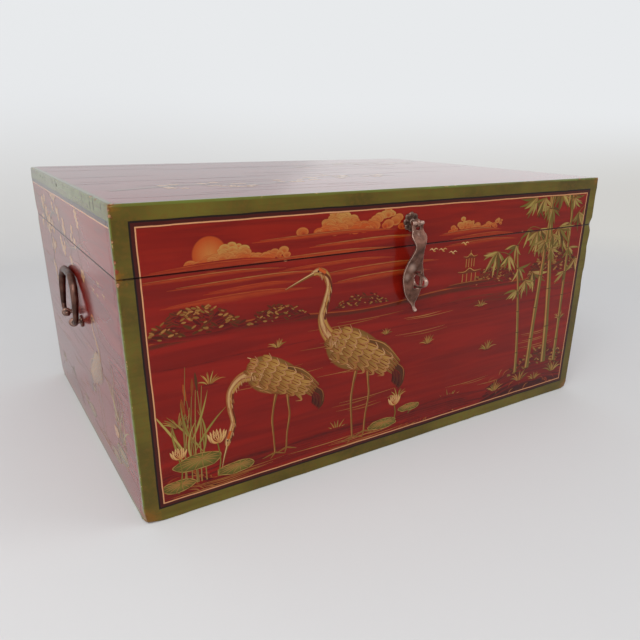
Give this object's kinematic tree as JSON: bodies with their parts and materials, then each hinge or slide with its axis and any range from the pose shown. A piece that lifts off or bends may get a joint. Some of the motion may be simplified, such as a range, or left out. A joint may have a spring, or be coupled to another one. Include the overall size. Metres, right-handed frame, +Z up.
{
  "type": "storage chest",
  "caption": "Painted wooden storage chest with a back-hinged lid, a wrought hasp over a staple and a bail handle at each end.",
  "frame": {"origin": "centre of the case's underside, on the surface that it stands on", "axes": "+X right along the front, +Y to the back, +Z up; the hasp is on the front, at -Y"},
  "size_m": [0.6266, 0.4567, 0.292],
  "materials": {
    "painted_wood": "painted and varnished, worn at the edges",
    "bare_wood": "plain sanded",
    "wrought_iron": "forged, brown patina",
    "hinge_iron": "dull dark iron"
  },
  "bodies": {
    "case": {"case_front_board": "painted_wood", "case_back_board": "painted_wood", "case_left_end": "painted_wood", "case_right_end": "painted_wood", "case_bottom_panel": "bare_wood", "hasp_staple": "wrought_iron", "left_handle_eyes": "wrought_iron", "left_handle_washers": "wrought_iron", "right_handle_eyes": "wrought_iron", "right_handle_washers": "wrought_iron", "left_hinge_case_leaf": "hinge_iron", "left_hinge_pin": "hinge_iron", "right_hinge_case_leaf": "hinge_iron", "right_hinge_pin": "hinge_iron", "case_hinge_screws": "hinge_iron"},
    "lid": {"lid_front_rail": "painted_wood", "lid_back_rail": "painted_wood", "lid_left_rail": "painted_wood", "lid_right_rail": "painted_wood", "lid_top_panel": "painted_wood", "hasp_eye": "wrought_iron", "hasp_rosette": "wrought_iron", "left_hinge_lid_leaf": "hinge_iron", "right_hinge_lid_leaf": "hinge_iron", "lid_hinge_screws": "hinge_iron"},
    "hasp": {"hasp_plate": "wrought_iron"},
    "left_handle": {"left_handle_bail": "wrought_iron"},
    "right_handle": {"right_handle_bail": "wrought_iron"}
  },
  "joints": [
    {"name": "lid_hinge", "type": "hinge", "parent": "case", "child": "lid", "pos_m": [0, 0.2155, 0.233], "axis": [-1, 0, 0], "range_deg": [0, 180]},
    {"name": "hasp_swing", "type": "hinge", "parent": "lid", "child": "hasp", "pos_m": [-0.004, -0.2228, 0.258], "axis": [-1, 0, 0], "range_deg": [0, 180]},
    {"name": "left_handle_swing", "type": "hinge", "parent": "case", "child": "left_handle", "pos_m": [-0.3082, 0, 0.146], "axis": [0, -1, 0], "range_deg": [0, 184]},
    {"name": "right_handle_swing", "type": "hinge", "parent": "case", "child": "right_handle", "pos_m": [0.3082, 0, 0.146], "axis": [0, 1, 0], "range_deg": [0, 184]}
  ]
}
